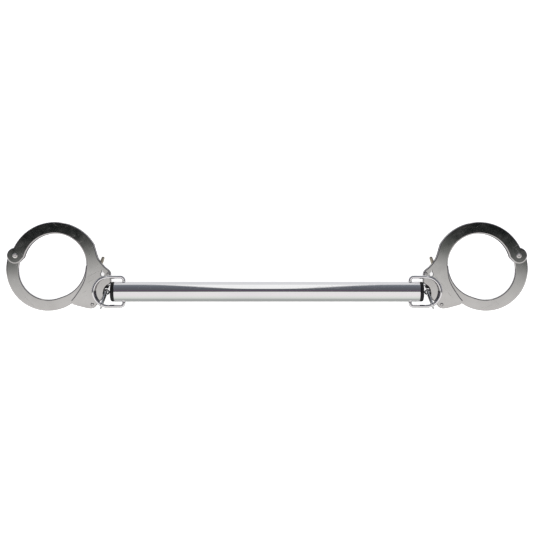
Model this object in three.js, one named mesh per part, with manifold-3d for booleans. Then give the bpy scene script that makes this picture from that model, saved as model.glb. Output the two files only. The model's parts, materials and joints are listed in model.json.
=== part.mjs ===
// Two metal handcuffs joined by a rigid spreader bar, lying flat. Millimetres, +Z up.
//
// The bar runs along X. At each of its ends a D-shaped wire ring hinges in the tube, a small chain
// link hangs on the ring, and the link carries the swivel of one cuff. The origin is on the surface
// that the handcuffs lie on, under the middle of their bounding box.

import * as THREE from 'three';
import { mergeVertices } from 'three/addons/utils/BufferGeometryUtils.js';
import Module from 'manifold-3d';

const wasm = await Module();
wasm.setup();

// ---------------------------------------------------------------- driving dimensions

const FIT = 0.3; // clearance between pieces that touch

// Spreader bar
const TUBE_RADIUS = 9;
const TUBE_WALL = 1.2;
const TUBE_HALF_LENGTH = 137.2;
const CAP_RADIUS = 8.9;
const CAP_FACE_RADIUS = 7.4;
const CAP_RIM = 3; // part of the cap outside the tube
const CAP_SHOULDER = 1.3; // straight part of the rim, before it curves in to the face
const CAP_DOME = 0.3;
const CAP_PLUG = 5;

// D-ring: a bent wire whose two ends turn into the tube
const RING_WIRE = 1.5; // wire radius
const RING_HINGE_X = 128.7;
const RING_HALF_WIDTH = 13.1; // centre line of a leg, from the bar's axis
const RING_LEG = 14.2; // hinge to the centre of the round end
const RING_CORNER = 3;
const RING_END_Y = 4.5; // where the wire stops inside the tube
const RING_LIFT = THREE.MathUtils.degToRad(8); // the ring lies over the cuff

// Chain link, in a plane square to the cuff
const LINK_WIRE = 1;
const LINK_BEND = 3; // centre-line radius of its two ends
const LINK_HANGS_AT = 244.4; // degrees round the D-ring's round end

// Cuff plates: two cheeks with the jaw and the lock frame between them
const CHEEK_THICKNESS = 1.5;
const CHEEK_GAP = 2.1; // from the cuff's middle plane to a cheek
const JAW_HALF_THICKNESS = 1.6;
const FRAME_HALF_THICKNESS = CHEEK_GAP - FIT;
const CHEEK_FACE = CHEEK_GAP + CHEEK_THICKNESS;
const RIVET_HEAD = 0.7;
const CUFF_MIDDLE = CHEEK_FACE + FIT + RIVET_HEAD; // height of the cuff's middle plane

// Cuff plan, about the centre of the arch's outer circle, with +X towards the swivel
const CUFF_CENTRE = { x: -191.2, y: 21.8 }; // from the middle of the bar's axis
const CUFF_TILT = THREE.MathUtils.degToRad(-24);
const ARCH_OUTER = { x: 0, y: 0, radius: 41 };
const ARCH_INNER = { x: -0.76, y: 1.93, radius: 28.35 };
const PIVOT = { x: -36.8, y: -4.8 };
const LOBE = { x: -37.1, y: -4.9, radius: 7.2 };
const JAW_OUTER = { x: -5.2, y: -3.6, radius: 37.9 };
const JAW_INNER = { x: -4.3, y: -4.4, radius: 26.7 };
const TIP_INNER = { x: -3.3, y: 1.15, radius: 30.1 };

// Lock
const TOOTH_PITCH = 3.2; // degrees about the jaw's outer circle
const TOOTH_DEPTH = 1.1;
const TOOTH_COUNT = 14;
const TOOTH_RAKE = 0.15; // share of the pitch that a tooth's steep flank takes
const FIRST_TOOTH = -29; // degrees
const PAWL_TEETH = 3;
const PAWL_FIRST_TOOTH = 9; // the jaw tooth that faces the pawl's first one
const PAWL_TOOTH_GAP = 0.45;
const PAWL_HUB = 3;
const PAWL_LIFT = THREE.MathUtils.degToRad(-6.5); // the pawl is drawn just clear of the teeth
const SPRING_HALF_THICKNESS = 0.2;
const SPRING_HALF_WIDTH = 1.2;
const LOWER_RIVET = { x: 44.6, y: -16.5 };
const UPPER_RIVET = { x: 46.2, y: 14.5 };
const RIVET_RADIUS = 1.2;
const PIVOT_RADIUS = 1.6;
const PIVOT_HEAD = 2.3;
const JAW_HUB = 6; // radius
const KEYHOLE = { x: 41.7, y: 11.9, radius: 1.9, slotX: 40.2, slotY: 14.7, slotWidth: 1.1 };
const LEVER_PIN = { x: 37, y: 15, radius: 0.9 };
const LEVER_TIP = { x: 36.1, y: 25.4 };
const LEVER_NOSE = { x: 35.3, y: 8 };
const LEVER_WIDTH = 2.7;
const LEVER_HUB = 2.3; // radius
const LEVER_NOSE_WIDTH = 1.6;

// Swivel
const EYE = { x: 51.3, y: -1.4 };
const EYE_RING = 2.25;
const EYE_WIRE = 0.75;
const STEM_RADIUS = 1.05;
const STEM_HEAD = { radius: FRAME_HALF_THICKNESS, from: 43, to: 44.2 };

const CURVE_STEPS = 20;

// ---------------------------------------------------------------- materials

const metal = (color, roughness) => new THREE.MeshStandardMaterial({ color, roughness, metalness: 1 });
const plastic = (color) => new THREE.MeshStandardMaterial({ color, roughness: 0.5, metalness: 0 });

const NICKEL = metal(0xb9b6b4, 0.28);
const CHROME = metal(0xdfe1e4, 0.08);
const STEEL = metal(0x9a978f, 0.4);
const SPRING_STEEL = metal(0x6f7276, 0.35);
const BLACK = plastic(0x16171a);

// ---------------------------------------------------------------- solids

/** The solid that a closed three.js geometry bounds. */
function solid(geometry) {
  const bare = geometry.clone();
  bare.deleteAttribute('normal');
  bare.deleteAttribute('uv');
  const merged = mergeVertices(bare, 1e-4);
  return new wasm.Manifold(new wasm.Mesh({
    numProp: 3,
    vertProperties: new Float32Array(merged.attributes.position.array),
    triVerts: new Uint32Array(merged.index.array),
  }));
}

function geometryOf(body) {
  const { vertProperties, triVerts } = body.getMesh();
  const geometry = new THREE.BufferGeometry();
  geometry.setAttribute('position', new THREE.BufferAttribute(vertProperties, 3));
  geometry.setIndex(new THREE.BufferAttribute(triVerts, 1));
  geometry.computeVertexNormals();
  return geometry;
}

/** A plan outline made solid from one height to another. */
function slab(shape, low, high, curveSegments = CURVE_STEPS) {
  const options = { depth: high - low, bevelEnabled: false, curveSegments };
  return solid(new THREE.ExtrudeGeometry(shape, options).translate(0, 0, low));
}

/** An upright cylinder. */
function post({ x, y }, radius, low, high, sides = 16) {
  const geometry = new THREE.CylinderGeometry(radius, radius, high - low, sides);
  return solid(geometry.rotateX(Math.PI / 2).translate(x, y, (low + high) / 2));
}

/** A body turned about an upright axis, from its half profile of [radius, height] points. */
function turned({ x, y }, profile, sides = 16) {
  const points = profile.map(([radius, height]) => new THREE.Vector2(radius, height));
  return solid(new THREE.LatheGeometry(points, sides).rotateX(Math.PI / 2).translate(x, y, 0));
}

/** A round wire along a path. */
function wire(path, radius, steps, sides) {
  const section = new THREE.Shape().absarc(0, 0, radius, 0, 2 * Math.PI);
  return new THREE.ExtrudeGeometry(section, { steps, extrudePath: path, curveSegments: sides / 2 });
}

/** The point of a circle at an angle in degrees. */
function onCircle({ x, y, radius }, degrees) {
  const angle = THREE.MathUtils.degToRad(degrees);
  return new THREE.Vector2(x + radius * Math.cos(angle), y + radius * Math.sin(angle));
}

/** Continues a shape along a circle, between two angles in degrees. */
function followCircle(shape, { x, y, radius }, from, to) {
  const start = THREE.MathUtils.degToRad(from);
  const end = THREE.MathUtils.degToRad(to);
  shape.absarc(x, y, radius, start, end, to < from);
}

/** A closed outline through [x, y, corner radius] points. */
function rounded(corners) {
  const shape = new THREE.Shape();
  corners.forEach(([x, y, radius = 0], i) => {
    const corner = new THREE.Vector2(x, y);
    const towards = ([nextX, nextY]) => (
      new THREE.Vector2(nextX, nextY).sub(corner).setLength(radius).add(corner)
    );
    const before = towards(corners.at(i - 1));
    const after = towards(corners[(i + 1) % corners.length]);
    if (i === 0) shape.moveTo(before.x, before.y);
    else shape.lineTo(before.x, before.y);
    if (radius > 0) shape.quadraticCurveTo(x, y, after.x, after.y);
  });
  return shape;
}

/** A round-ended bar between two plan points. */
function capsule(a, b, width, low, high) {
  const along = new THREE.Vector2(b.x - a.x, b.y - a.y);
  const angle = THREE.MathUtils.radToDeg(along.angle());
  const shape = new THREE.Shape();
  followCircle(shape, { ...a, radius: width / 2 }, angle + 90, angle + 270);
  followCircle(shape, { ...b, radius: width / 2 }, angle - 90, angle + 90);
  return slab(shape, low, high, 8);
}

function piece(name, geometry, material) {
  const mesh = new THREE.Mesh(geometry, material);
  mesh.name = name;
  return mesh;
}

// ---------------------------------------------------------------- cheeks

function archOutline() {
  const shape = new THREE.Shape();
  followCircle(shape, ARCH_OUTER, 54, 178.4);
  followCircle(shape, LOBE, 122.8, 345);
  followCircle(shape, ARCH_INNER, 190, 24);
  return shape;
}

/** The plate round the lock, with a hollow in its end that bares the swivel. */
function housingOutline() {
  const shape = rounded([
    [22, 29], [23.9, 33.1], [32.4, 23.2, 2], [40.6, 18.9, 2], [47.3, 17.3, 2.5], [51.4, 8.8, 1],
    [51.6, 7.2, 0.6], [48.6, 3.2, 2.4], [48.6, -1.6, 2.4], [50.4, -5, 0.8], [50.4, -8.9, 2],
    [48.4, -13.7, 2], [46.9, -20, 3], [40.7, -21.9, 3], [28.4, -23.7, 1], [25.9, -21.5, 0.8],
  ]);
  const innerEdge = [[27.2, -15.3], [28.7, -5.3], [28.3, 3], [25.2, 13.2]];
  shape.splineThru(innerEdge.map(([x, y]) => new THREE.Vector2(x, y)));
  return shape;
}

/** The key's way through a plate: a round hole with a slot for the bit. */
function keyway(low, high) {
  const slotEnd = { x: KEYHOLE.slotX, y: KEYHOLE.slotY };
  const slot = capsule(KEYHOLE, slotEnd, KEYHOLE.slotWidth, low, high);
  return post(KEYHOLE, KEYHOLE.radius, low, high).add(slot);
}

function cheek() {
  const [low, high] = [CHEEK_GAP, CHEEK_FACE];
  const below = low - 1;
  const above = high + 1;
  return slab(archOutline(), low, high)
    .add(slab(housingOutline(), low, high, 4))
    .subtract(post(PIVOT, PIVOT_RADIUS + FIT, below, above))
    .subtract(post(LOWER_RIVET, RIVET_RADIUS + FIT, below, above))
    .subtract(post(UPPER_RIVET, RIVET_RADIUS + FIT, below, above))
    .subtract(keyway(below, above));
}

// ---------------------------------------------------------------- jaw and lock

/** The saw-tooth edge of the jaw, from one tooth to another, moved out by a gap. */
function toothEdge(first, count, gap) {
  const points = [];
  for (let tooth = first; tooth < first + count; tooth++) {
    const start = FIRST_TOOTH + tooth * TOOTH_PITCH;
    const tip = { ...JAW_OUTER, radius: JAW_OUTER.radius + gap };
    const root = { ...JAW_OUTER, radius: tip.radius - TOOTH_DEPTH };
    points.push(onCircle(root, start), onCircle(tip, start + TOOTH_PITCH * TOOTH_RAKE));
  }
  return points;
}

function jaw() {
  const shape = new THREE.Shape();
  followCircle(shape, JAW_OUTER, 184, 360 + FIRST_TOOTH);
  toothEdge(0, TOOTH_COUNT, 0).forEach((point) => shape.lineTo(point.x, point.y));
  const noseStart = onCircle({ ...JAW_OUTER, radius: JAW_OUTER.radius - TOOTH_DEPTH }, 17);
  shape.lineTo(noseStart.x, noseStart.y);
  shape.quadraticCurveTo(29.2, 13.2, 24.6, 12.8);
  followCircle(shape, TIP_INNER, 22, -41);
  followCircle(shape, JAW_INNER, -51, -176);
  const [low, high] = [-JAW_HALF_THICKNESS, JAW_HALF_THICKNESS];
  return slab(shape, low, high)
    .add(post(PIVOT, JAW_HUB, low, high, 32))
    .subtract(post(PIVOT, PIVOT_RADIUS + FIT, low - 1, high + 1));
}

/** The ratchet pawl, shaped in mesh with the jaw and then turned clear of it about its rivet. */
function pawl() {
  const half = FRAME_HALF_THICKNESS - FIT;
  const teeth = toothEdge(PAWL_FIRST_TOOTH, PAWL_TEETH, PAWL_TOOTH_GAP).map(({ x, y }) => [x, y]);
  const outline = rounded([
    [42.6, -18.8], [33.2, -17.2, 1], [32.9, -5.4, 0.3], ...teeth, [33.2, 3, 0.5], [34.4, 6.8, 0.8],
    [36.6, 6.8, 0.8], [37.4, -8, 3], [45.6, -13.8, 0.5],
  ]);
  return slab(outline, -half, half, 4)
    .add(post(LOWER_RIVET, PAWL_HUB, -half, half))
    .subtract(post(LOWER_RIVET, RIVET_RADIUS + FIT, -half - 1, half + 1))
    .translate([-LOWER_RIVET.x, -LOWER_RIVET.y, 0])
    .rotate([0, 0, THREE.MathUtils.radToDeg(PAWL_LIFT)])
    .translate([LOWER_RIVET.x, LOWER_RIVET.y, 0]);
}

/** A leaf spring that presses the pawl onto the teeth. */
function pawlSpring() {
  const leaf = new THREE.CatmullRomCurve3([
    new THREE.Vector3(40.5, -5.8, 0), new THREE.Vector3(39.2, -1, 0), new THREE.Vector3(40.5, 4.2, 0),
  ]);
  const strip = new THREE.Shape();
  strip.moveTo(-SPRING_HALF_WIDTH, -SPRING_HALF_THICKNESS);
  strip.lineTo(SPRING_HALF_WIDTH, -SPRING_HALF_THICKNESS);
  strip.lineTo(SPRING_HALF_WIDTH, SPRING_HALF_THICKNESS);
  strip.lineTo(-SPRING_HALF_WIDTH, SPRING_HALF_THICKNESS);
  return solid(new THREE.ExtrudeGeometry(strip, { steps: 14, extrudePath: leaf }));
}

/** The thumb lever: its tab stands out of the cuff and its nose lifts the pawl. */
function releaseLever() {
  const half = FRAME_HALF_THICKNESS - FIT;
  return capsule(LEVER_TIP, LEVER_PIN, LEVER_WIDTH, -half, half)
    .add(post(LEVER_PIN, LEVER_HUB, -half, half))
    .add(capsule(LEVER_PIN, LEVER_NOSE, LEVER_NOSE_WIDTH, -half, half))
    .subtract(post(LEVER_PIN, LEVER_PIN.radius + FIT, -half - 1, half + 1));
}

const leverPin = () => post(LEVER_PIN, LEVER_PIN.radius, -FRAME_HALF_THICKNESS, FRAME_HALF_THICKNESS);

/** The lock frame fills the housing round the pawl, the lever, the keyway and the swivel's head. */
function lockFrame() {
  const [low, high] = [-FRAME_HALF_THICKNESS, FRAME_HALF_THICKNESS];
  const body = slab(rounded([
    [44.1, 17.4, 0.5], [47, 16.6, 2], [50.8, 8.6, 0.5], [50.8, 7.6, 0.3], [45.8, 7.2], [45.8, -8.4],
    [49.4, -8.8, 0.4], [48.6, -11.4, 0.5], [44.4, -11.4, 0.5], [41, -8, 1], [41, 6.4, 1], [44.1, 9.4, 1],
  ]), low, high, 6);
  const neck = STEM_RADIUS + FIT;
  const pocket = STEM_HEAD.radius + FIT;
  const slot = slab(rounded([
    [STEM_HEAD.from - FIT, EYE.y - pocket], [STEM_HEAD.to + FIT, EYE.y - pocket],
    [STEM_HEAD.to + FIT, EYE.y - neck], [50, EYE.y - neck], [50, EYE.y + neck],
    [STEM_HEAD.to + FIT, EYE.y + neck], [STEM_HEAD.to + FIT, EYE.y + pocket],
    [STEM_HEAD.from - FIT, EYE.y + pocket],
  ]), low - 1, high + 1);
  return body
    .subtract(slot)
    .subtract(post(UPPER_RIVET, RIVET_RADIUS + FIT, low - 1, high + 1));
}

/** The black bush that the swivel's stem turns in; it shows in the hollow of the cheeks. */
function swivelBush() {
  const crescentHeight = CHEEK_FACE - FIT;
  const block = slab(rounded([[46.1, -6.8], [49.9, -6.8], [49.9, 6.6], [46.1, 6.6]]),
    -FRAME_HALF_THICKNESS, FRAME_HALF_THICKNESS);
  const crescent = slab(rounded([
    [49.1, -1.5, 2], [50.9, -4.3], [50.9, -4.6], [51.4, 5.9, 0.5], [49.1, 3, 2],
  ]), -crescentHeight, crescentHeight, 6);
  const stem = new THREE.CylinderGeometry(STEM_RADIUS + FIT, STEM_RADIUS + FIT, 12, 16);
  return block.add(crescent)
    .subtract(post(EYE, EYE_RING + EYE_WIRE + FIT + 0.1, -10, 10, 32))
    .subtract(solid(stem.rotateZ(Math.PI / 2).translate(EYE.x - 4, EYE.y, 0)));
}

/** A plain rivet with both ends flush with the cheeks. */
const flushRivet = (at) => post(at, RIVET_RADIUS, -CHEEK_FACE, CHEEK_FACE);

/** The jaw's rivet, with a low domed head on each cheek. */
function pivotRivet() {
  const seat = CHEEK_FACE + FIT;
  const top = seat + RIVET_HEAD;
  const half = [
    [PIVOT_RADIUS, seat], [PIVOT_HEAD, seat], [PIVOT_HEAD, seat + 0.25], [PIVOT_HEAD * 0.8, top - 0.1],
    [PIVOT_HEAD * 0.5, top], [0, top],
  ];
  const lower = half.toReversed().map(([radius, height]) => [radius, -height]);
  return turned(PIVOT, [...lower, ...half]);
}

// ---------------------------------------------------------------- swivel, link and ring

/** The swivel, about its eye: a headed stem along -X and an eye in the XY plane. */
function swivel() {
  const profile = [
    [0, STEM_HEAD.from], [STEM_HEAD.radius, STEM_HEAD.from], [STEM_HEAD.radius, STEM_HEAD.to],
    [STEM_RADIUS, STEM_HEAD.to], [STEM_RADIUS, EYE.x - EYE_RING], [0, EYE.x - EYE_RING],
  ];
  const stem = turned({ x: 0, y: 0 }, profile, 16).rotate([0, 90, 0]).translate([-EYE.x, 0, 0]);
  return stem.add(solid(new THREE.TorusGeometry(EYE_RING, EYE_WIRE, 8, 18)));
}

/** Points of an arc in the XY plane, between two angles in degrees. */
function arcPoints(circle, from, to, count) {
  return Array.from({ length: count + 1 }, (_, i) => {
    const { x, y } = onCircle(circle, from + ((to - from) * i) / count);
    return new THREE.Vector3(x, y, 0);
  });
}

/** A path of short straight runs through points. */
function pathThrough(points) {
  const path = new THREE.CurvePath();
  points.slice(1).forEach((point, i) => path.add(new THREE.LineCurve3(points[i], point)));
  return path;
}

/** An oval link in the XY plane. Its centre line starts at the origin and is `length` long along +X. */
function chainLink(length) {
  const overlap = 0.05; // of the two halves that are joined in the middle
  const end = length / 2 + overlap;
  const half = () => {
    const bend = arcPoints({ x: LINK_BEND, y: 0, radius: LINK_BEND }, 90, 270, 12);
    const path = pathThrough([
      new THREE.Vector3(end, LINK_BEND, 0), ...bend, new THREE.Vector3(end, -LINK_BEND, 0),
    ]);
    return solid(wire(path, LINK_WIRE, 16, 8));
  };
  return half().add(half().rotate([0, 0, 180]).translate([length, 0, 0]));
}

/** The D-ring about its hinge, in the XY plane: both wire ends turn in to the hinge axis. */
function dRing() {
  const corner = { x: -RING_CORNER, radius: RING_CORNER };
  const cornerY = RING_HALF_WIDTH - RING_CORNER;
  const points = [
    new THREE.Vector3(0, RING_END_Y, 0),
    ...arcPoints({ ...corner, y: cornerY }, 0, 90, 5),
    ...arcPoints({ x: -RING_LEG, y: 0, radius: RING_HALF_WIDTH }, 90, 270, 26),
    ...arcPoints({ ...corner, y: -cornerY }, 270, 360, 5),
    new THREE.Vector3(0, -RING_END_Y, 0),
  ];
  return solid(wire(pathThrough(points), RING_WIRE, 56, 8));
}

// ---------------------------------------------------------------- bar

/** The chromed tube along X, with a cross hole at each D-ring. */
function barTube() {
  const halfLength = TUBE_HALF_LENGTH;
  const sides = 48;
  const tube = post({ x: 0, y: 0 }, TUBE_RADIUS, -halfLength, halfLength, sides)
    .subtract(post({ x: 0, y: 0 }, TUBE_RADIUS - TUBE_WALL, -halfLength - 1, halfLength + 1, sides))
    .rotate([0, 90, 0]);
  const hole = new THREE.CylinderGeometry(RING_WIRE + FIT, RING_WIRE + FIT, 3 * TUBE_RADIUS, 12);
  const left = solid(hole.clone().translate(-RING_HINGE_X, 0, 0));
  const right = solid(hole.clone().translate(RING_HINGE_X, 0, 0));
  return tube.subtract(left).subtract(right);
}

/** A cap about the tube's end, +Z outwards: a plug in the bore and a rim that curves in to a low dome. */
function endCap() {
  const plug = TUBE_RADIUS - TUBE_WALL - FIT;
  const shoulder = FIT + CAP_SHOULDER;
  const rimTop = FIT + CAP_RIM;
  const curve = new THREE.EllipseCurve(
    CAP_FACE_RADIUS, shoulder, CAP_RADIUS - CAP_FACE_RADIUS, rimTop - shoulder, 0, Math.PI / 2,
  );
  return turned({ x: 0, y: 0 }, [
    [0, -CAP_PLUG], [plug, -CAP_PLUG], [plug, FIT], [CAP_RADIUS, FIT],
    ...curve.getPoints(5).map(({ x, y }) => [x, y]),
    [CAP_FACE_RADIUS / 2, rimTop + CAP_DOME * 0.8], [0, rimTop + CAP_DOME],
  ], 28);
}

// ---------------------------------------------------------------- assembly

/** One cuff about the centre of its arch, in its own middle plane. */
function cuff(side, linkSlope) {
  const group = new THREE.Group();
  const add = (name, body, material) => {
    const mesh = piece(`${side}_${name}`, geometryOf(body), material);
    group.add(mesh);
    return mesh;
  };
  add('front_cheek', cheek(), NICKEL);
  add('rear_cheek', cheek().mirror([0, 0, 1]), NICKEL);
  add('jaw', jaw(), NICKEL);
  add('lock_frame', lockFrame(), STEEL);
  add('pawl', pawl(), STEEL);
  add('pawl_spring', pawlSpring(), SPRING_STEEL);
  add('release_lever', releaseLever(), STEEL);
  add('lever_pin', leverPin(), STEEL);
  add('lower_rivet', flushRivet(LOWER_RIVET), NICKEL);
  add('upper_rivet', flushRivet(UPPER_RIVET), NICKEL);
  add('pivot_rivet', pivotRivet(), NICKEL);
  add('swivel_bush', swivelBush(), BLACK);
  const eye = add('swivel', swivel(), CHROME);
  eye.position.set(EYE.x, EYE.y, 0);
  eye.rotation.x = -linkSlope;
  return group;
}

/** The link from the cuff's eye to the D-ring's wire, standing on edge. */
function placeLink(side, eye, ringPoint) {
  const along = ringPoint.clone().sub(eye);
  const length = along.length() + FIT + RING_WIRE + FIT + LINK_WIRE;
  const direction = along.clone().normalize();
  const sideways = direction.clone().cross(new THREE.Vector3(0, 0, 1)).normalize();
  const upwards = sideways.clone().cross(direction);
  const mesh = piece(`${side}_chain_link`, geometryOf(chainLink(length)), CHROME);
  mesh.quaternion.setFromRotationMatrix(new THREE.Matrix4().makeBasis(direction, upwards, sideways));
  mesh.position.copy(eye).addScaledVector(direction, -FIT);
  return mesh;
}

/** Everything at the bar's left end, about the bar's middle with the surface at z = 0. */
function cuffEnd(side) {
  const end = new THREE.Group();
  const cap = piece(`${side}_end_cap`, geometryOf(endCap()), BLACK);
  cap.position.set(-TUBE_HALF_LENGTH, 0, TUBE_RADIUS);
  cap.rotation.y = -Math.PI / 2;

  const ring = piece(`${side}_d_ring`, geometryOf(dRing()), CHROME);
  ring.position.set(-RING_HINGE_X, 0, TUBE_RADIUS);
  ring.rotation.y = RING_LIFT;
  ring.updateMatrix();
  const held = onCircle({ x: -RING_LEG, y: 0, radius: RING_HALF_WIDTH }, LINK_HANGS_AT);
  const ringPoint = new THREE.Vector3(held.x, held.y, 0).applyMatrix4(ring.matrix);

  const place = new THREE.Matrix4().makeRotationZ(CUFF_TILT);
  place.setPosition(CUFF_CENTRE.x, CUFF_CENTRE.y, CUFF_MIDDLE);
  const eye = new THREE.Vector3(EYE.x, EYE.y, 0).applyMatrix4(place);
  const rise = ringPoint.z - eye.z;
  const run = Math.hypot(ringPoint.x - eye.x, ringPoint.y - eye.y);
  const body = cuff(side, Math.atan2(rise, run));
  body.position.set(CUFF_CENTRE.x, CUFF_CENTRE.y, CUFF_MIDDLE);
  body.rotation.z = CUFF_TILT;

  end.add(cap, ring, placeLink(side, eye, ringPoint), body);
  return end;
}

const handcuffs = new THREE.Group();
const tube = piece('bar_tube', geometryOf(barTube()), CHROME);
tube.position.z = TUBE_RADIUS;
// Every piece is the same on both faces, so the right cuff is a left one turned over.
const rightEnd = cuffEnd('right');
rightEnd.scale.x = -1;
handcuffs.add(tube, cuffEnd('left'), rightEnd);

const box = new THREE.Box3().setFromObject(handcuffs, true);
handcuffs.position.y = -(box.min.y + box.max.y) / 2;

export default handcuffs;
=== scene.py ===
"""Looks for the two handcuffs on their spreader bar: rolled plate edges, smooth wires and tube, light.

Lengths are in millimetres and become metres where a piece goes into the scene. Everything at the
left end is made in that end's own frame, about the bar's middle, and mirrored for the right end.
"""

import json
import math

import bmesh
import bpy
import numpy as np
from mathutils import Matrix, Vector
from mathutils.geometry import delaunay_2d_cdt


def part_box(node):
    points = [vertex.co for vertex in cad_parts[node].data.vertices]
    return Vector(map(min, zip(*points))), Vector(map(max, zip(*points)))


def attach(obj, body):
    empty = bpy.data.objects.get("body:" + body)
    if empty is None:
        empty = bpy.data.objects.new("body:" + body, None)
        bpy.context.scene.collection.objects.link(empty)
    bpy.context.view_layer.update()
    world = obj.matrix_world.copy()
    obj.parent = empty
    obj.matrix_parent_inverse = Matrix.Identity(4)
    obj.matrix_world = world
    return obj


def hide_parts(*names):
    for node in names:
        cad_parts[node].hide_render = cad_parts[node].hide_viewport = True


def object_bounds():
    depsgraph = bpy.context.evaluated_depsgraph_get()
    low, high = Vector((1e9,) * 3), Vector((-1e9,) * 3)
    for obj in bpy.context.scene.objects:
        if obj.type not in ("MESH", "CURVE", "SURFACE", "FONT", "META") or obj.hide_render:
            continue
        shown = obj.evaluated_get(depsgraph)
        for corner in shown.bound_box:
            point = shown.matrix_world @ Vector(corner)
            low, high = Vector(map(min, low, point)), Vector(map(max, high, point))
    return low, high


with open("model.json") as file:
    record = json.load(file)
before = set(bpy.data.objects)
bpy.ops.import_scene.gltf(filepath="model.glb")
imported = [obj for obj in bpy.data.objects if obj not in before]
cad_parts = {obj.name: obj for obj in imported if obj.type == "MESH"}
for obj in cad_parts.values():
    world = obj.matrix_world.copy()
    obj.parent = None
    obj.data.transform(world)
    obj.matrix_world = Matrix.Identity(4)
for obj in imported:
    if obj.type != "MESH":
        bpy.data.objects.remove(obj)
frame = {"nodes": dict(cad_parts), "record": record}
CAD_BOX = [list(corner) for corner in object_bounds()]

MM = 0.001
FIT = 0.3  # gap left between pieces that fit together
WELD = 0.001  # vertices nearer than this are one
CAD_WELD = 0.002  # the same, for meshes read from the CAD

# Tube and its black end caps
TUBE = {"radius": 9, "bore": 7.8, "half_length": 137.2, "lip": 0.35}
CAP = {"radius": 8.9, "face_radius": 7.4, "shoulder": 1.3, "rim": 3, "dome": 0.3, "plug": 5}

# D-ring: bent wire, hinged in the tube
RING = {"wire": 1.5, "hinge_x": 128.7, "half_width": 13.1, "leg": 14.2, "corner": 3, "end_y": 4.5}
RING_LIFT = math.radians(8)

# Chain link, from the swivel's eye to the place on the D-ring's round end where it hangs
LINK = {"wire": 1, "bend": 3}
LINK_HANGS_AT = math.radians(244.4)

# Cuff plan, about the centre of its arch
CUFF_CENTRE = (-191.2, 21.8, 4.6)
CUFF_TILT = math.radians(-24)
CHEEK_FACE = 3.6  # from the cuff's middle plane
PIVOT = {"x": -36.8, "y": -4.8, "radius": 1.6, "head": 2.3, "head_height": 0.7, "hollow": 0.9}
LOWER_RIVET = {"x": 44.6, "y": -16.5, "radius": 1.2}
UPPER_RIVET = {"x": 46.2, "y": 14.5, "radius": 1.2}
EYE = {"x": 51.3, "y": -1.4, "ring": 2.25, "wire": 0.75}
STEM = {"radius": 1.05, "head": 1.8, "head_from": 43, "head_to": 44.2}
LEAF = {"thickness": 0.4, "width": 2.4, "x": 40.5, "bow": 0.6, "from_y": -5.8, "to_y": 4.2}

# Edge rounding of the plates, and how their outlines are redrawn
CHEEK_ROLL = 0.8
JAW_ROLL = 0.8
LEVER_ROLL = 0.9
STAMPED_ROLL = 0.2
HOLE_ROLL = 0.12
ROLL_STEPS = (0.03, 0.12, 0.28, 0.5, 0.75, 1.0, 1.25)  # shares of the rounding's radius
OUTLINE_STEP = 0.7
SMOOTH_BEND = 20  # degrees: a sharper bend in an outline is a corner
SHARP_EDGE = 50  # degrees: a sharper bend between faces isn't shaded smooth
FACING_UP = 0.9  # least upward part of a top face's normal

# Camera, straight above: its frame is as wide as VIEW_WIDTH at the height of the plates' faces
CAMERA_HEIGHT = 1200
CAMERA_SHIFT = (-0.45, -0.1)
VIEW_WIDTH = 479.7
PLATE_HEIGHT = 8
SENSOR = 36

# What polished metal mirrors, by degrees that a direction leans from straight up towards +Y
WALLS = [
    (-90, (0.58, 0.60, 0.57)),
    (-65, (0.76, 0.77, 0.74)),
    (-35, (0.84, 0.79, 0.81)),
    (-1.2, (0.81, 0.80, 0.79)),
    (-0.4, (0.67, 0.67, 0.66)),
    (0.22, (0.59, 0.59, 0.58)),
    (0.46, (0.46, 0.46, 0.45)),
    (0.6, (0.29, 0.3, 0.29)),
    (0.78, (0.07, 0.08, 0.07)),
    (0.97, (0.010, 0.013, 0.012)),
    (5, (0.014, 0.014, 0.017)),
    (10, (0.14, 0.1, 0.15)),
    (20, (0.1, 0.1, 0.115)),
    (60, (0.13, 0.14, 0.165)),
    (90, (0.22, 0.24, 0.27)),
]
WALL_SKEW = {"level_at": 0.135, "degrees": 11}  # degrees that the walls shift, by a direction's X
WINDOW = {"middle": 0.013, "side": 0.095, "lowest": 35, "highest": 90, "blur": 2}


# ---------------------------------------------------------------- shader nodes

class Nodes:
    """A node tree, with short calls that add nodes and join their sockets."""

    def __init__(self, tree):
        self.tree = tree

    def add(self, kind, inputs=None, **settings):
        node = self.tree.nodes.new(kind)
        for key, value in settings.items():
            setattr(node, key, value)
        for key, value in (inputs or {}).items():
            self.feed(node.inputs[key], value)
        return node

    def feed(self, socket, value):
        if isinstance(value, bpy.types.NodeSocket):
            self.tree.links.new(value, socket)
        else:
            socket.default_value = value

    def math(self, operation, first, second=0.0):
        return self.add("ShaderNodeMath", {0: first, 1: second}, operation=operation).outputs[0]

    def ranged(self, value, start, end, low=0.0, high=1.0, smooth=False):
        inputs = {"Value": value, "From Min": start, "From Max": end, "To Min": low, "To Max": high}
        kind = "SMOOTHSTEP" if smooth else "LINEAR"
        return self.add("ShaderNodeMapRange", inputs, interpolation_type=kind).outputs["Result"]

    def ramp(self, value, stops):
        node = self.add("ShaderNodeValToRGB", {"Fac": value})
        elements = node.color_ramp.elements
        while len(elements) < len(stops):
            elements.new(0.5)
        for element, (position, colour) in zip(elements, stops):
            element.position = position
            element.color = (*colour, 1)
        return node.outputs["Color"]


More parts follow.
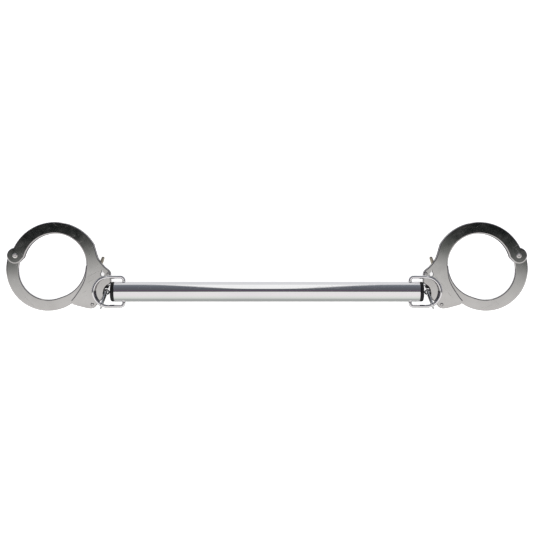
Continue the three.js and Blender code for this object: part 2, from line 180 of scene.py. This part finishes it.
class Surface(Nodes):
    """A material whose patterns are set out on the object's own coordinates, in metres."""

    def __init__(self, name):
        self.material = bpy.data.materials.new(name)
        self.material.use_nodes = True
        super().__init__(self.material.node_tree)
        self.shader = self.tree.nodes["Principled BSDF"]
        self.place = self.add("ShaderNodeTexCoord").outputs["Object"]

    def noise(self, scale, detail=4.0, stretch=(1, 1, 1), turn=0):
        """Noise with `scale` cells to a metre, drawn out by `stretch` and turned about Z."""
        inputs = {"Vector": self.place, "Scale": stretch, "Rotation": (0, 0, math.radians(turn))}
        place = self.add("ShaderNodeMapping", inputs, vector_type="TEXTURE").outputs["Vector"]
        inputs = {"Vector": place, "Scale": scale, "Detail": detail}
        return self.add("ShaderNodeTexNoise", inputs).outputs["Fac"]

    def scratches(self, turn):
        """Sparse hairlines, 1 on a scratch and 0 between them."""
        return self.ranged(self.noise(1400, 2, (22, 1, 1), turn), 0.7, 0.74)

    def bump(self, height, strength, depth, normal=None):
        inputs = {"Height": height, "Strength": strength, "Distance": depth * MM}
        if normal:
            inputs["Normal"] = normal
        return self.add("ShaderNodeBump", inputs).outputs["Normal"]

    def finish(self, **inputs):
        for key, value in inputs.items():
            self.feed(self.shader.inputs[key.replace("_", " ")], value)
        return self.material


# ---------------------------------------------------------------- materials

def nickel():
    """Buffed nickel plate: nearly a mirror, with a faint haze, buffing lines and hairline scratches."""
    m = Surface("nickel")
    haze = m.noise(55, 5)
    tint = m.ramp(haze, [(0.3, (0.60, 0.588, 0.58)), (0.7, (0.67, 0.658, 0.65))])
    scratches = m.math("MAXIMUM", m.scratches(28), m.scratches(-47))
    polish = m.ranged(m.noise(130, 6), 0.3, 0.7, 0.04, 0.075)
    rough = m.math("ADD", polish, m.math("MULTIPLY", scratches, 0.14))
    normal = m.bump(m.noise(900, 2, (1, 12, 1)), 0.05, 0.03)
    return m.finish(Base_Color=tint, Metallic=1.0, Roughness=rough, Normal=normal)


def chrome():
    """Mirror chrome with the slightest smears, drawing lines along X and a few fine scratches."""
    m = Surface("chrome")
    smear = m.noise(35, 5, (2.5, 1, 1))
    tint = m.ramp(smear, [(0.3, (0.90, 0.902, 0.91)), (0.7, (0.95, 0.95, 0.955))])
    scratches = m.math("MAXIMUM", m.scratches(8), m.scratches(70))
    rough = m.math("ADD", m.ranged(smear, 0.3, 0.7, 0.03, 0.07), m.math("MULTIPLY", scratches, 0.1))
    normal = m.bump(m.noise(800, 2, (30, 1, 1)), 0.04, 0.02)
    return m.finish(Base_Color=tint, Metallic=1.0, Roughness=rough, Normal=normal)


def peened_rivet():
    """A bright rivet head, left satin and slightly uneven by the riveting tool."""
    m = Surface("peened_rivet")
    dents = m.noise(1400, 3)
    tint = m.ramp(m.noise(500, 3), [(0.3, (0.80, 0.79, 0.76)), (0.7, (0.92, 0.91, 0.88))])
    rough = m.ranged(dents, 0.3, 0.7, 0.32, 0.45)
    normal = m.bump(dents, 0.4, 0.06)
    return m.finish(Base_Color=tint, Metallic=1.0, Roughness=rough, Normal=normal)


def stamped_steel(name, light, dark, rough_low, rough_high):
    """Unplated steel of the lock's inner pieces, with a coarse grain and darker pits."""
    m = Surface(name)
    patches = m.noise(260, 6)
    grain = m.noise(2400, 3, (1, 5, 1))
    tint = m.ramp(patches, [(0.34, dark), (0.62, light)])
    rough = m.ranged(grain, 0.3, 0.7, rough_low, rough_high)
    normal = m.bump(grain, 0.3, 0.03)
    return m.finish(Base_Color=tint, Metallic=1.0, Roughness=rough, Normal=normal)


def black_plastic():
    """Moulded black plastic with a fine spark texture and a trace of dust."""
    m = Surface("black_plastic")
    dust = m.noise(90, 5)
    spark = m.noise(3000, 2)
    tint = m.ramp(dust, [(0.35, (0.005, 0.005, 0.006)), (0.75, (0.011, 0.011, 0.013))])
    rough = m.ranged(spark, 0.3, 0.7, 0.42, 0.58)
    normal = m.bump(spark, 0.15, 0.03)
    return m.finish(Base_Color=tint, Roughness=rough, Normal=normal, Specular_IOR_Level=0.3)


def pale_floor():
    """A white light table: an opal top, lit softly from below, with a barely visible mottle."""
    m = Surface("pale_floor")
    tint = m.ramp(m.noise(6, 3), [(0.3, (0.90, 0.90, 0.90)), (0.7, (0.92, 0.92, 0.92))])
    return m.finish(
        Base_Color=tint,
        Roughness=0.9,
        Specular_IOR_Level=0.0,
        Emission_Color=(1, 1, 1, 1),
        Emission_Strength=0.72,
    )


def painted_shade_floor():
    """A glowing grey plane that only the metal mirrors, with painted shade: darker in front of the bar than
    beyond it.
    """
    m = Surface("painted_shade_floor")
    across = m.add("ShaderNodeSeparateXYZ", {0: m.place}).outputs["Y"]
    # painted shade: the glow dims towards -Y, where the floor in front of the bar lies in shadow
    shade = m.ranged(across, -0.035, -0.005, smooth=True)
    glow = m.ramp(shade, [(0, (0.40, 0.41, 0.40)), (1, (0.72, 0.72, 0.74))])
    return m.finish(
        Base_Color=(0, 0, 0, 1),
        Specular_IOR_Level=0.0,
        Emission_Color=glow,
        Emission_Strength=1.0,
    )


MATERIALS = {
    "nickel": nickel(),
    "chrome": chrome(),
    "lock_steel": stamped_steel("lock_steel", (0.60, 0.56, 0.46), (0.40, 0.37, 0.30), 0.24, 0.42),
    "spring_steel": stamped_steel("spring_steel", (0.34, 0.36, 0.39), (0.20, 0.21, 0.23), 0.2, 0.36),
    "black_plastic": black_plastic(),
}
RIVET_HEAD = peened_rivet()


# ---------------------------------------------------------------- meshes

def placed_mesh(name, vertices, faces, place):
    """A closed mesh from vertices in millimetres, put in its place and scaled to metres."""
    mesh = bpy.data.meshes.new(name)
    mesh.from_pydata([MM * (place @ vertex) for vertex in vertices], [], faces)
    return cleaned(mesh)


def cleaned(mesh):
    """The mesh with doubled vertices merged, all faces outwards and shaded smooth."""
    work = bmesh.new()
    work.from_mesh(mesh)
    bmesh.ops.remove_doubles(work, verts=work.verts, dist=WELD * MM)
    bmesh.ops.recalc_face_normals(work, faces=work.faces)
    for face in work.faces:
        face.smooth = True
    work.to_mesh(mesh)
    work.free()
    return mesh


def combined(mesh, tool, operation):
    """What a boolean of two meshes leaves."""
    objects = [bpy.data.objects.new("work", data) for data in (mesh, tool)]
    for item in objects:
        bpy.context.scene.collection.objects.link(item)
    modifier = objects[0].modifiers.new("combine", "BOOLEAN")
    modifier.object = objects[1]
    modifier.operation = operation
    modifier.solver = "EXACT"
    evaluated = objects[0].evaluated_get(bpy.context.evaluated_depsgraph_get())
    result = bpy.data.meshes.new_from_object(evaluated)
    for item in objects:
        bpy.data.objects.remove(item)
    return cleaned(result)


def arc(centre_x, centre_y, radius, start, end, step=4):
    """Points of an arc in the XY plane between two angles in degrees, its ends included."""
    count = max(2, round(abs(end - start) / step))
    angles = [math.radians(start + (end - start) * i / count) for i in range(count + 1)]
    centre = Vector((centre_x, centre_y, 0))
    return [centre + radius * Vector((math.cos(a), math.sin(a), 0)) for a in angles]


def round_section(radius, sides=24):
    """A wire's section, as offsets for swept()."""
    turns = [2 * math.pi * k / sides for k in range(sides)]
    return [(radius * math.cos(turn), radius * math.sin(turn)) for turn in turns]


def swept(path, section, closed):
    """A section of (inward, upward) offsets along a path in the XY plane, as vertices and faces."""
    vertices, faces = [], []
    count, sides = len(path), len(section)
    up = Vector((0, 0, 1))
    for i, point in enumerate(path):
        before = path[i - 1] if closed or i > 0 else point
        after = path[(i + 1) % count] if closed or i < count - 1 else point
        inwards = up.cross((after - before).normalized())
        vertices += [point + inward * inwards + upward * up for inward, upward in section]
    for i in range(count if closed else count - 1):
        here, there = i * sides, (i + 1) % count * sides
        for k in range(sides):
            following = (k + 1) % sides
            faces.append((here + k, here + following, there + following, there + k))
    if not closed:
        faces.append(tuple(range(sides)))
        faces.append(tuple(range((count - 1) * sides, count * sides)))
    return vertices, faces


def turned(profile, sides, hollow=False):
    """A profile of (radius, height) points turned about Z; a hollow one closes on itself."""
    vertices, faces = [], []
    count = len(profile)
    for k in range(sides):
        turn = 2 * math.pi * k / sides
        for radius, height in profile:
            vertices.append(Vector((radius * math.cos(turn), radius * math.sin(turn), height)))
    for k in range(sides):
        here, there = k * count, (k + 1) % sides * count
        for i in range(count if hollow else count - 1):
            following = (i + 1) % count
            faces.append((here + i, there + i, there + following, here + following))
    return vertices, faces


def rounded_corner(radius, height, size, start, steps=4):
    """Profile points round a corner whose centre is at (radius, height), a quarter turn on from start."""
    angles = [math.radians(start + 90 * i / steps) for i in range(steps + 1)]
    return [(radius + size * math.cos(a), height + size * math.sin(a)) for a in angles]


# ---------------------------------------------------------------- placing pieces

def body_of(node):
    """The moving body that a CAD node belongs to."""
    bodies = frame["record"]["behaviour"]["bodies"]
    return next(name for name, nodes in bodies.items() if node in nodes)


def show(name, mesh, slot, node, material=None):
    """Puts a mesh in the scene in place of a CAD node and on that node's body."""
    piece = bpy.data.objects.new(name, mesh)
    bpy.context.scene.collection.objects.link(piece)
    mesh.materials.clear()
    mesh.materials.append(material or MATERIALS[slot])
    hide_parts(node)
    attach(piece, body_of(node))
    return piece


def outline_loops(node):
    """Closed loops of (x, y) points in metres round a CAD plate's top face, the plate on their left."""
    work = bmesh.new()
    work.from_mesh(frame["nodes"][node].data)
    bmesh.ops.remove_doubles(work, verts=work.verts, dist=CAD_WELD * MM)
    bmesh.ops.dissolve_degenerate(work, edges=work.edges, dist=CAD_WELD * MM)
    work.verts.index_update()
    work.normal_update()
    following = {}
    for face in work.faces:
        if face.normal.z < FACING_UP:
            continue
        for corner in face.loops:
            other = corner.link_loop_radial_next.face
            if other.normal.z < FACING_UP:
                following[corner.vert.index] = corner.link_loop_next.vert.index
    places = {vertex.index: np.array(vertex.co.xy) for vertex in work.verts}
    work.free()
    loops = []
    while following:
        start, vertex = following.popitem()
        loop = [places[start]]
        while vertex != start:
            loop.append(places[vertex])
            vertex = following.pop(vertex)
        loops.append(np.array(loop))
    return loops


def curved(loop):
    """The loop with its long edges cut up and bent to run smoothly on, except at real corners."""
    edges = np.roll(loop, -1, axis=0) - loop
    lengths = np.linalg.norm(edges, axis=1)
    along = edges / lengths[:, None]
    arriving = np.roll(along, 1, axis=0)
    smooth = (along * arriving).sum(axis=1) > math.cos(math.radians(SMOOTH_BEND))
    average = along + arriving
    average /= np.linalg.norm(average, axis=1)[:, None]
    leaving = np.where(smooth[:, None], average, along)
    reaching = np.roll(np.where(smooth[:, None], average, arriving), -1, axis=0)
    points = []
    for i, start in enumerate(loop):
        end = loop[(i + 1) % len(loop)]
        count = max(1, round(lengths[i] / (OUTLINE_STEP * MM)))
        t = np.arange(count)[:, None] / count
        points.append(
            (2 * t**3 - 3 * t**2 + 1) * start + (t**3 - 2 * t**2 + t) * lengths[i] * leaving[i]
            + (3 * t**2 - 2 * t**3) * end + (t**3 - t**2) * lengths[i] * reaching[i]
        )
    return np.concatenate(points)


def edge_distance(points, loops):
    """How far each point is from the nearest outline."""
    nearest = np.full(len(points), np.inf)
    for loop in loops:
        starts, ends = loop, np.roll(loop, -1, axis=0)
        edges = ends - starts
        offsets = points[:, None, :] - starts[None]
        share = (offsets * edges).sum(axis=2) / (edges * edges).sum(axis=1)
        gaps = offsets - np.clip(share, 0, 1)[..., None] * edges
        nearest = np.minimum(nearest, np.linalg.norm(gaps, axis=2).min(axis=1))
    return nearest


def inside(points, loops):
    """Whether each point is on the plate: it is if an odd number of outline edges cross its ray along X."""
    crossings = np.zeros(len(points), int)
    for loop in loops:
        starts, ends = loop, np.roll(loop, -1, axis=0)
        spans = (starts[:, 1] > points[:, 1:2]) != (ends[:, 1] > points[:, 1:2])
        rise = np.where(ends[:, 1] == starts[:, 1], 1, ends[:, 1] - starts[:, 1])
        x = starts[:, 0] + (points[:, 1:2] - starts[:, 1]) * (ends[:, 0] - starts[:, 0]) / rise
        crossings += (spans & (x > points[:, 0:1])).sum(axis=1)
    return crossings % 2 == 1


def inset_points(loop, loops, distance):
    """Points at a distance inside one loop of the outline, and no nearer to the others."""
    along = np.roll(loop, -1, axis=0) - np.roll(loop, 1, axis=0)
    along /= np.linalg.norm(along, axis=1)[:, None]
    points = loop + distance * np.stack((-along[:, 1], along[:, 0]), axis=1)
    tolerance = 0.01 * MM
    clear = edge_distance(points, loops) > distance - tolerance
    return points[clear & inside(points, loops)]


def triangulated(loops, roll):
    """Points and triangles that fill an outline, with rings of points where its edges are rounded."""
    outer, *holes = loops
    rings = [inset_points(outer, loops, share * roll * MM) for share in ROLL_STEPS]
    for hole in holes:
        rings += [inset_points(hole, loops, share * HOLE_ROLL * MM) for share in ROLL_STEPS[2:]]
    points = [Vector(point / MM) for point in np.concatenate(loops + rings)]
    edges, first = [], 0
    for loop in loops:
        edges += [(first + i, first + (i + 1) % len(loop)) for i in range(len(loop))]
        first += len(loop)
    nearest = 1e-5
    flat, _, triangles, *_ = delaunay_2d_cdt(points, edges, [], 0, nearest)
    flat = MM * np.array([tuple(point) for point in flat])
    triangles = np.array(triangles)
    return flat, triangles[inside(flat[triangles].mean(axis=1), loops)]


def plate(node, slot, top_roll, bottom_roll):
    """A stamped plate remade from its CAD outline with smooth curves and edges rounded over."""
    loops = sorted((curved(loop) for loop in outline_loops(node)), key=np.ptp, reverse=True)
    flat, triangles = triangulated(loops, max(top_roll, bottom_roll))
    low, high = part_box(node)
    from_edge = edge_distance(flat, loops[:1])
    at_holes = roll_drop(edge_distance(flat, loops[1:]), HOLE_ROLL * MM)
    top = high.z - np.maximum(roll_drop(from_edge, top_roll * MM), at_holes)
    bottom = low.z + np.maximum(roll_drop(from_edge, bottom_roll * MM), at_holes)
    count = len(flat)
    vertices = np.vstack((np.column_stack((flat, top)), np.column_stack((flat, bottom))))
    faces = triangles.tolist() + (triangles[:, ::-1] + count).tolist()
    faces += [(int(b), int(a), int(a) + count, int(b) + count) for a, b in rim_edges(triangles)]
    mesh = bpy.data.meshes.new(node)
    mesh.from_pydata(vertices.tolist(), [], faces)
    cleaned(mesh).set_sharp_from_angle(angle=math.radians(SHARP_EDGE))
    show(f"{node}_plate", mesh, slot, node)


def roll_drop(distance, radius):
    """How far a rounded edge has fallen away from the plate's face, at distances in from the outline."""
    if radius == 0:
        return np.zeros(len(distance))
    reach = np.clip(radius - distance, 0, radius)
    return radius - np.sqrt(radius**2 - reach**2)


def rim_edges(triangles):
    """The directed edges that only one triangle has."""
    directed = {(t[i], t[(i + 1) % 3]) for t in triangles for i in range(3)}
    return [(a, b) for a, b in directed if (b, a) not in directed]


def rolled(node, slot, radius):
    """A small CAD piece with its faces made whole and its edges eased."""
    mesh = frame["nodes"][node].data.copy()
    for name in ("custom_normal", "sharp_edge"):
        if name in mesh.attributes:
            mesh.attributes.remove(mesh.attributes[name])
    work = bmesh.new()
    work.from_mesh(mesh)
    bmesh.ops.remove_doubles(work, verts=work.verts, dist=CAD_WELD * MM)
    flat = math.radians(0.5)
    bmesh.ops.dissolve_limit(work, angle_limit=flat, verts=work.verts, edges=work.edges)
    work.to_mesh(mesh)
    work.free()
    piece = show(f"{node}_rolled", cleaned(mesh), slot, node)
    edge = piece.modifiers.new("rolled_edge", "BEVEL")
    edge.width = radius * MM
    edge.segments = 3
    edge.limit_method = "ANGLE"
    edge.angle_limit = math.radians(35)
    shading = piece.modifiers.new("flat_faces", "WEIGHTED_NORMAL")
    shading.weight = 100


def end_place(side):
    """From the left end's frame, about the bar's middle, to an end of the bar in millimetres."""
    low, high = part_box("bar_tube")
    mirror = 1 if side == "left" else -1
    return Matrix.Translation((0, (low.y + high.y) / 2 / MM, 0)) @ Matrix.Diagonal((mirror, 1, 1, 1))


TUBE_AXIS = Matrix.Translation((0, 0, TUBE["radius"]))
HINGE_PLACE = TUBE_AXIS @ Matrix.Translation((-RING["hinge_x"], 0, 0))
RING_PLACE = HINGE_PLACE @ Matrix.Rotation(RING_LIFT, 4, "Y")
CUFF_PLACE = Matrix.Translation(CUFF_CENTRE) @ Matrix.Rotation(CUFF_TILT, 4, "Z")
EYE_CENTRE = CUFF_PLACE @ Vector((EYE["x"], EYE["y"], 0))
HANGING_POINT = RING_PLACE @ Vector((
    -RING["leg"] + RING["half_width"] * math.cos(LINK_HANGS_AT),
    RING["half_width"] * math.sin(LINK_HANGS_AT),
    0,
))


# ---------------------------------------------------------------- bar

def bar_tube():
    """The chromed tube with rolled lips and a cross hole for each D-ring."""
    lip = TUBE["lip"]
    outer, inner = TUBE["radius"] - lip, TUBE["bore"] + lip
    end = TUBE["half_length"] - lip
    profile = rounded_corner(outer, end, lip, 0) + rounded_corner(inner, end, lip, 90)
    profile += rounded_corner(inner, -end, lip, 180) + rounded_corner(outer, -end, lip, 270)
    place = end_place("left") @ TUBE_AXIS @ Matrix.Rotation(math.pi / 2, 4, "Y")
    mesh = placed_mesh("tube", *turned(profile, 128, hollow=True), place)
    reach = 2 * TUBE["radius"]
    hole = RING["wire"] + FIT
    drill = turned([(0, -reach), (hole, -reach), (hole, reach), (0, reach)], 40)
    across = HINGE_PLACE @ Matrix.Rotation(math.pi / 2, 4, "X")
    for side in ("left", "right"):
        tool = placed_mesh("drill", *drill, end_place(side) @ across)
        mesh = combined(mesh, tool, "DIFFERENCE")
    mesh.set_sharp_from_angle(angle=math.radians(SHARP_EDGE))
    piece = show("chromed_tube", mesh, "chrome", "bar_tube")
    piece.modifiers.new("flat_faces", "WEIGHTED_NORMAL").keep_sharp = True


def end_cap(side):
    """A black cap: a plug in the bore and a rim with a rounded edge and a low dome outside."""
    plug, inner_end = TUBE["bore"] - FIT, -CAP["plug"]
    radius, face = CAP["radius"], CAP["face_radius"]
    shoulder, top = FIT + CAP["shoulder"], FIT + CAP["rim"]
    plug_ease, rim_ease = 0.4, 0.15
    profile = [(0, inner_end), (plug - plug_ease, inner_end), (plug, inner_end + plug_ease), (plug, FIT)]
    profile += [(radius - rim_ease, FIT), (radius, FIT + rim_ease)]
    quarter = [math.radians(10 * i) for i in range(10)]
    for a in quarter:
        profile.append((face + (radius - face) * math.cos(a), shoulder + (top - shoulder) * math.sin(a)))
    for a in quarter[1:]:
        profile.append((face * math.cos(a), top + CAP["dome"] * math.sin(a)))
    tube_end = TUBE_AXIS @ Matrix.Translation((-TUBE["half_length"], 0, 0))
    outwards = tube_end @ Matrix.Rotation(-math.pi / 2, 4, "Y")
    mesh = placed_mesh("cap", *turned(profile, 72), end_place(side) @ outwards)
    show(f"{side}_moulded_cap", mesh, "black_plastic", f"{side}_end_cap")


# ---------------------------------------------------------------- wires and spring

def d_ring(side):
    """The D-shaped ring, its two ends turned into the tube's cross hole."""
    corner, half_width, leg = RING["corner"], RING["half_width"], RING["leg"]
    corner_y = half_width - corner
    path = [Vector((0, RING["end_y"], 0)), Vector((0, corner_y - 0.5, 0))]
    path += arc(-corner, corner_y, corner, 0, 90, 9)
    path += arc(-leg, 0, half_width, 90, 270, 3)
    path += arc(-corner, -corner_y, corner, 270, 360, 9)
    path += [Vector((0, 0.5 - corner_y, 0)), Vector((0, -RING["end_y"], 0))]
    wire = swept(path, round_section(RING["wire"]), closed=False)
    mesh = placed_mesh("ring", *wire, end_place(side) @ RING_PLACE)
    show(f"{side}_ring_wire", mesh, "chrome", f"{side}_d_ring")


def chain_link(side):
    """An oval link on edge, its inside clear of the eye and the ring by the fit."""
    along = HANGING_POINT - EYE_CENTRE
    length = along.length + FIT + RING["wire"] + FIT + LINK["wire"]
    direction = along.normalized()
    sideways = direction.cross(Vector((0, 0, 1))).normalized()
    upwards = sideways.cross(direction)
    axes = Matrix((direction, upwards, sideways)).transposed().to_4x4()
    place = Matrix.Translation(EYE_CENTRE - FIT * direction) @ axes
    bend = LINK["bend"]
    path = arc(bend, 0, bend, 90, 270, 7.5) + arc(length - bend, 0, bend, 270, 450, 7.5)
    wire = swept(path, round_section(LINK["wire"]), closed=True)
    mesh = placed_mesh("link", *wire, end_place(side) @ place)
    show(f"{side}_link_wire", mesh, "chrome", f"{side}_chain_link")


def swivel(side):
    """The eye with its headed stem, turned about the stem to lie along the link."""
    along = HANGING_POINT - EYE_CENTRE
    slope = math.atan2(along.z, math.hypot(along.x, along.y))
    turn = Matrix.Rotation(-slope, 4, "X")
    place = end_place(side) @ CUFF_PLACE @ Matrix.Translation((EYE["x"], EYE["y"], 0)) @ turn
    loop = arc(0, 0, EYE["ring"], 0, 352, 8)
    eye = placed_mesh("eye", *swept(loop, round_section(EYE["wire"], 20), closed=True), place)
    radius, head, ease, neck = STEM["radius"], STEM["head"], 0.2, 0.3
    start, shoulder, end = STEM["head_from"], STEM["head_to"], EYE["x"] - EYE["ring"]
    profile = [(0, start), (head - ease, start), (head, start + ease)]
    profile += [(head, shoulder - ease), (head - ease, shoulder), (radius, shoulder)]
    profile += [(radius, end - neck), (radius * 0.8, end), (0, end)]
    lying = Matrix.Translation((-EYE["x"], 0, 0)) @ Matrix.Rotation(math.pi / 2, 4, "Y")
    stem = placed_mesh("stem", *turned(profile, 32), place @ lying)
    show(f"{side}_eye_and_stem", combined(eye, stem, "UNION"), "chrome", f"{side}_swivel")


def leaf_spring(side):
    """A gently bowed leaf behind the pawl."""
    thick, wide = LEAF["thickness"] / 2, LEAF["width"] / 2
    length = LEAF["to_y"] - LEAF["from_y"]
    path = []
    for share in np.linspace(0, 1, 25).tolist():
        bow = LEAF["bow"] * math.sin(math.pi * share)
        path.append(Vector((LEAF["x"] - bow, LEAF["from_y"] + length * share, 0)))
    section = [(-thick, -wide), (thick, -wide), (thick, wide), (-thick, wide)]
    mesh = placed_mesh("leaf", *swept(path, section, closed=False), end_place(side) @ CUFF_PLACE)
    mesh.set_sharp_from_angle(angle=math.radians(SHARP_EDGE))
    show(f"{side}_leaf_spring", mesh, "spring_steel", f"{side}_pawl_spring")


# ---------------------------------------------------------------- rivets

def two_headed(side, half, at, sides):
    """A rivet across the cuff, alike at both ends, from the (radius, height) points of its upper half."""
    profile = [(radius, -height) for radius, height in reversed(half)] + half
    place = end_place(side) @ CUFF_PLACE @ Matrix.Translation((at["x"], at["y"], 0))
    return placed_mesh("rivet", *turned(profile, sides), place)


def flush_rivet(side, name, at):
    """A rivet filed flush with both cheeks, its ends very slightly crowned."""
    radius, face = at["radius"], CHEEK_FACE
    half = [(radius, face - 0.12), (radius - 0.1, face - 0.03), (radius * 0.6, face - 0.01), (0, face)]
    mesh = two_headed(side, half, at, 40)
    show(f"{side}_{name}_turned", mesh, "nickel", f"{side}_{name}")


def pivot_rivet(side):
    """The jaw's semi-tubular rivet: a rounded head on each cheek with a shallow hollow in its middle."""
    seat = CHEEK_FACE + FIT
    head, hollow, rim, ease = PIVOT["head"], PIVOT["hollow"], 0.2, 0.1
    top = seat + PIVOT["head_height"]
    crown = PIVOT["head_height"] - rim
    half = [(PIVOT["radius"], seat), (head - ease, seat), (head, seat + ease)]
    for a in [math.radians(9 * i) for i in range(11)]:
        half.append((hollow + (head - hollow) * math.cos(a), seat + rim + crown * math.sin(a)))
    half += [(hollow * 0.85, top - 0.15), (hollow * 0.7, top - 0.4), (0, top - 0.5)]
    mesh = two_headed(side, half, PIVOT, 56)
    show(f"{side}_pivot_turned", mesh, "nickel", f"{side}_pivot_rivet", RIVET_HEAD)


# ---------------------------------------------------------------- the handcuffs

def cuff(side):
    """One handcuff: its plates, lock, rivets and swivel. The cheeks are rounded on their outsides."""
    plate(f"{side}_front_cheek", "nickel", CHEEK_ROLL, 0)
    plate(f"{side}_rear_cheek", "nickel", 0, CHEEK_ROLL)
    plate(f"{side}_jaw", "nickel", JAW_ROLL, JAW_ROLL)
    plate(f"{side}_release_lever", "lock_steel", LEVER_ROLL, LEVER_ROLL)
    plate(f"{side}_pawl", "lock_steel", STAMPED_ROLL, STAMPED_ROLL)
    rolled(f"{side}_lock_frame", "lock_steel", 0.15)
    rolled(f"{side}_lever_pin", "lock_steel", 0.1)
    leaf_spring(side)
    rolled(f"{side}_swivel_bush", "black_plastic", 0.12)
    flush_rivet(side, "lower_rivet", LOWER_RIVET)
    flush_rivet(side, "upper_rivet", UPPER_RIVET)
    pivot_rivet(side)
    swivel(side)


bar_tube()
for end in ("left", "right"):
    end_cap(end)
    d_ring(end)
    chain_link(end)
    cuff(end)


# ---------------------------------------------------------------- studio

def stage_plane(name, material, height):
    """A level plane 10 m square, at a height in millimetres over the lowest point of the CAD."""
    half = 5
    corners = [(-half, -half, 0), (half, -half, 0), (half, half, 0), (-half, half, 0)]
    mesh = bpy.data.meshes.new(name)
    mesh.from_pydata(corners, [], [(0, 1, 2, 3)])
    mesh.materials.append(material)
    plane = bpy.data.objects.new(name, mesh)
    plane.location.z = CAD_BOX[0][2] + height * MM
    bpy.context.scene.collection.objects.link(plane)
    return plane


def floor():
    """The white table that is seen, and under it a duller glowing plane with painted shade that only the
    metal mirrors.
    """
    seen = stage_plane("floor", pale_floor(), 0)
    seen.visible_glossy = False
    mirrored = stage_plane("mirrored_floor", painted_shade_floor(), -0.5)
    mirrored.visible_camera = False
    mirrored.visible_diffuse = False
    mirrored.visible_shadow = False


def surroundings():
    """What polished metal sees: a bright wall at -Y, a dark one at +Y with a narrow bright window."""
    world = bpy.data.worlds.new("studio")
    bpy.context.scene.world = world
    world.use_nodes = True
    n = Nodes(world.node_tree)
    split = n.add("ShaderNodeSeparateXYZ", {0: n.add("ShaderNodeTexCoord").outputs["Generated"]})
    lean = n.math("ARCTAN2", split.outputs["Y"], split.outputs["Z"])
    degrees = n.math("DEGREES", lean)
    aside = n.math("ABSOLUTE", split.outputs["X"])
    skew = n.math("MULTIPLY", n.math("SUBTRACT", aside, WALL_SKEW["level_at"]), WALL_SKEW["degrees"])
    stops = [((angle + 90) / 180, colour) for angle, colour in WALLS]
    walls = n.ramp(n.ranged(n.math("ADD", degrees, skew), -90, 90), stops)
    lowest, highest, blur = WINDOW["lowest"], WINDOW["highest"], WINDOW["blur"]
    sill = n.ranged(aside, WINDOW["middle"], WINDOW["side"], lowest, highest, smooth=True)
    window = n.ranged(n.math("SUBTRACT", degrees, sill), -blur, blur, smooth=True)
    seen = n.add("ShaderNodeMix", data_type="RGBA")
    n.feed(seen.inputs["Factor"], window)
    n.feed(seen.inputs[6], walls)
    n.feed(seen.inputs[7], (0.95, 0.95, 0.95, 1))
    background = world.node_tree.nodes["Background"]
    n.feed(background.inputs["Color"], seen.outputs[2])
    backdrop = n.add("ShaderNodeBackground", {"Color": (1, 1, 1, 1), "Strength": 0.9})
    is_camera = n.add("ShaderNodeLightPath").outputs["Is Camera Ray"]
    shaders = {0: is_camera, 1: background.outputs["Background"], 2: backdrop.outputs["Background"]}
    choice = n.add("ShaderNodeMixShader", shaders)
    n.feed(world.node_tree.nodes["World Output"].inputs["Surface"], choice.outputs["Shader"])


def softbox():
    """One big light overhead that lights the floor evenly and isn't mirrored in the metal."""
    lamp = bpy.data.lights.new("softbox", "AREA")
    lamp.shape = "SQUARE"
    lamp.size = 4
    lamp.energy = 40
    item = bpy.data.objects.new("softbox", lamp)
    item.location = (0, 0, 2)
    item.visible_glossy = False
    item.visible_camera = False
    bpy.context.scene.collection.objects.link(item)


def camera():
    """A camera straight above, within half a millimetre of the bar's middle."""
    data = bpy.data.cameras.new("camera")
    data.sensor_width = SENSOR
    data.lens = SENSOR * (CAMERA_HEIGHT - PLATE_HEIGHT) / VIEW_WIDTH
    item = bpy.data.objects.new("camera", data)
    item.location = MM * Vector((*CAMERA_SHIFT, CAMERA_HEIGHT))
    bpy.context.scene.collection.objects.link(item)
    bpy.context.scene.camera = item


floor()
surroundings()
softbox()
camera()
bpy.context.scene.view_settings.view_transform = "Standard"

bpy.context.view_layer.update()
